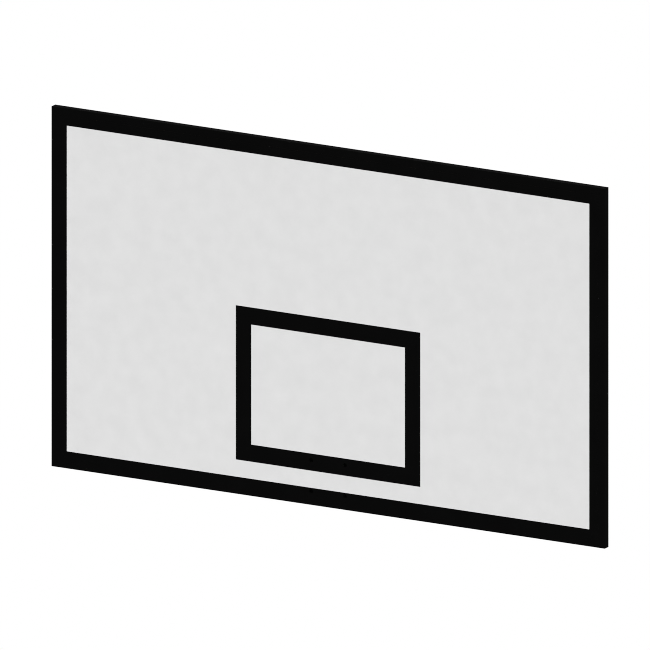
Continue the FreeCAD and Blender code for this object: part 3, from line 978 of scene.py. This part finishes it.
@dataclass
class Fastenings:
    """Bolts, washers, inserts and sleeves of the board."""

    plated: tuple[str, ...] = ("frame_bolts", "frame_washers")
    plating: Finish = ZINC_PLATING
    insert_plating: Finish = INSERT_PLATING
    sleeve_coat: Finish = SLEEVE_COAT

    def dress(self) -> None:
        """Dress the fasteners."""
        for node in self.plated:
            dress(node, self.plating)
        dress("threaded_inserts", self.insert_plating)
        dress("ring_sleeves", self.sleeve_coat)


# Studio


def towards(azimuth: float, elevation: float) -> Vector:
    """Unit vector from the board towards a place round it.

    Args:
        azimuth: degrees round from the front, to the right.
        elevation: degrees above the horizon.

    Returns:
        The direction.
    """
    turn, rise = math.radians(azimuth), math.radians(elevation)
    return Vector((math.sin(turn)*math.cos(rise), -math.cos(turn)*math.cos(rise), math.sin(rise)))


def seen_directly(nodes: bpy.types.Nodes, links: bpy.types.NodeLinks) -> Socket:
    """1 for rays that show the background itself, in view or in a reflection.

    Args:
        nodes: nodes of the tree that needs it.
        links: links of that tree.

    Returns:
        The value.
    """
    path = nodes.new("ShaderNodeLightPath")
    seen = path.outputs["Is Camera Ray"]
    for ray in ("Is Glossy Ray", "Is Transmission Ray"):
        either = nodes.new("ShaderNodeMath")
        either.operation = "MAXIMUM"
        links.new(seen, either.inputs[0])
        links.new(path.outputs[ray], either.inputs[1])
        seen = either.outputs["Value"]
    return seen


@dataclass(frozen=True)
class SoftLight:
    """A broad, distant light."""

    name: str
    azimuth: float
    elevation: float
    strength: float
    breadth: float = 50.0

    def hang(self) -> None:
        """Add the light, aimed at the board."""
        lamp = bpy.data.lights.new(self.name, "SUN")
        lamp.energy = self.strength
        lamp.angle = math.radians(self.breadth)
        light = bpy.data.objects.new(self.name, lamp)
        light.rotation_euler = (-towards(self.azimuth, self.elevation)).to_track_quat("-Z", "Y").to_euler()
        bpy.context.scene.collection.objects.link(light)
        log.info("%s: %.2f", self.name, self.strength)


@dataclass
class Studio:
    """White surroundings, soft lights and a pale floor at the height that a board hangs above the court."""

    hung_height: float = 2.9
    floor_radius: float = 60.0
    floor_sides: int = 96
    floor_colour: Colour = (0.76, 0.76, 0.76)
    floor_rough: float = 0.9
    fade: tuple[float, float] = (3.0, 7.0)
    world_strength: float = 0.5
    lights: tuple[SoftLight, ...] = (
        SoftLight("key_light", -35.0, 45.0, 1.16),
        SoftLight("fill_light", 50.0, 25.0, 0.51),
        SoftLight("rear_key_light", 145.0, 45.0, 1.35),
        SoftLight("rear_fill_light", -130.0, 20.0, 0.42),
    )

    def surround(self) -> None:
        """Make the world white to look at, and a plain level of light."""
        world = bpy.data.worlds.new("studio")
        bpy.context.scene.world = world
        world.use_nodes = True
        nodes, links = world.node_tree.nodes, world.node_tree.links
        light = nodes["Background"]
        light.inputs["Color"].default_value = (*WHITE, 1.0)
        light.inputs["Strength"].default_value = self.world_strength
        white = nodes.new("ShaderNodeBackground")
        white.inputs["Color"].default_value = (*WHITE, 1.0)
        mix = nodes.new("ShaderNodeMixShader")
        links.new(seen_directly(nodes, links), mix.inputs["Fac"])
        links.new(light.outputs["Background"], mix.inputs[1])
        links.new(white.outputs["Background"], mix.inputs[2])
        links.new(mix.outputs["Shader"], nodes["World Output"].inputs["Surface"])

    def floor_material(self) -> bpy.types.Material:
        """Pale floor that takes the board's shadow, and turns white to look at further away.

        Returns:
            The material.
        """
        graph = Graph("pale_floor")
        graph.surface(base_color=self.floor_colour, roughness=self.floor_rough)
        no_height = (1.0, 1.0, 0.0)
        level = graph.add("ShaderNodeVectorMath", {0: graph.points, 1: no_height}, operation="MULTIPLY")
        distance = graph.add("ShaderNodeVectorMath", {0: level.outputs["Vector"]}, operation="LENGTH")
        near, far = self.fade
        inputs = {"Value": distance.outputs["Value"], "From Min": near, "From Max": far}
        fade = graph.add("ShaderNodeMapRange", inputs).outputs["Result"]
        white = graph.add("ShaderNodeEmission", {"Color": WHITE, "Strength": 1.0}).outputs["Emission"]
        share = graph.calculated("MULTIPLY", fade, seen_directly(graph.nodes, graph.links))
        mix = graph.add("ShaderNodeMixShader", {0: share, 1: graph.shader.outputs["BSDF"], 2: white})
        graph.links.new(mix.outputs["Shader"], graph.nodes["Material Output"].inputs["Surface"])
        return graph.material

    def lay_floor(self) -> None:
        """Lay the floor under the board."""
        low, _ = CAD_BOX
        shape = bmesh.new()
        bmesh.ops.create_circle(shape, cap_ends=True, segments=self.floor_sides, radius=self.floor_radius)
        bmesh.ops.translate(shape, verts=shape.verts, vec=(0, 0, low.z - self.hung_height))
        floor = make_object("floor", shape, self.floor_material())

    def build(self) -> None:
        """Set up the studio."""
        bpy.context.scene.view_settings.view_transform = "Standard"
        self.surround()
        self.lay_floor()
        for light in self.lights:
            light.hang()


@dataclass
class PhotoView:
    """Parallel view of the photograph, fitted at the middle of the face's lower edge."""

    azimuth: float = 30.0
    elevation: float = 15.0
    frame_px: float = 650.0
    px_per_metre: float = 354.875
    sill_px: tuple[float, float] = (328.06, 507.46)
    filter_px: float = 1.0
    distance: float = 6.0
    reach: float = 200.0

    def build(self) -> None:
        """Add the camera, make it the scene's and keep its pixels crisp."""
        camera = bpy.data.cameras.new("photo_view")
        camera.type = "ORTHO"
        camera.ortho_scale = self.frame_px/self.px_per_metre
        camera.clip_end = self.reach
        back = towards(self.azimuth, self.elevation)
        turn = (-back).to_track_quat("-Z", "Y")
        right, up = turn @ Vector((1, 0, 0)), turn @ Vector((0, 1, 0))
        low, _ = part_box("edge_channel_bottom")
        across_px, down_px = self.sill_px
        aim = Vector((0, low.y, low.z))
        aim += right*((self.frame_px/2 - across_px)/self.px_per_metre)
        aim += up*((down_px - self.frame_px/2)/self.px_per_metre)
        view = bpy.data.objects.new("photo_view", camera)
        view.location = aim + back*self.distance
        view.rotation_euler = turn.to_euler()
        bpy.context.scene.collection.objects.link(view)
        bpy.context.scene.camera = view
        bpy.context.scene.cycles.filter_width = self.filter_px


def main() -> None:
    """Build the backboard's looks, the studio and the view."""
    logging.basicConfig(level=logging.INFO, format="%(name)s: %(message)s")
    steps: tuple[Callable[[], None], ...] = (
        Board().dress, Lines().dress, EdgeTrim().build, SteelFrame().build, Fastenings().dress,
        Studio().build, PhotoView().build,
    )
    for step in steps:
        step()


if __name__ == "__main__":
    main()
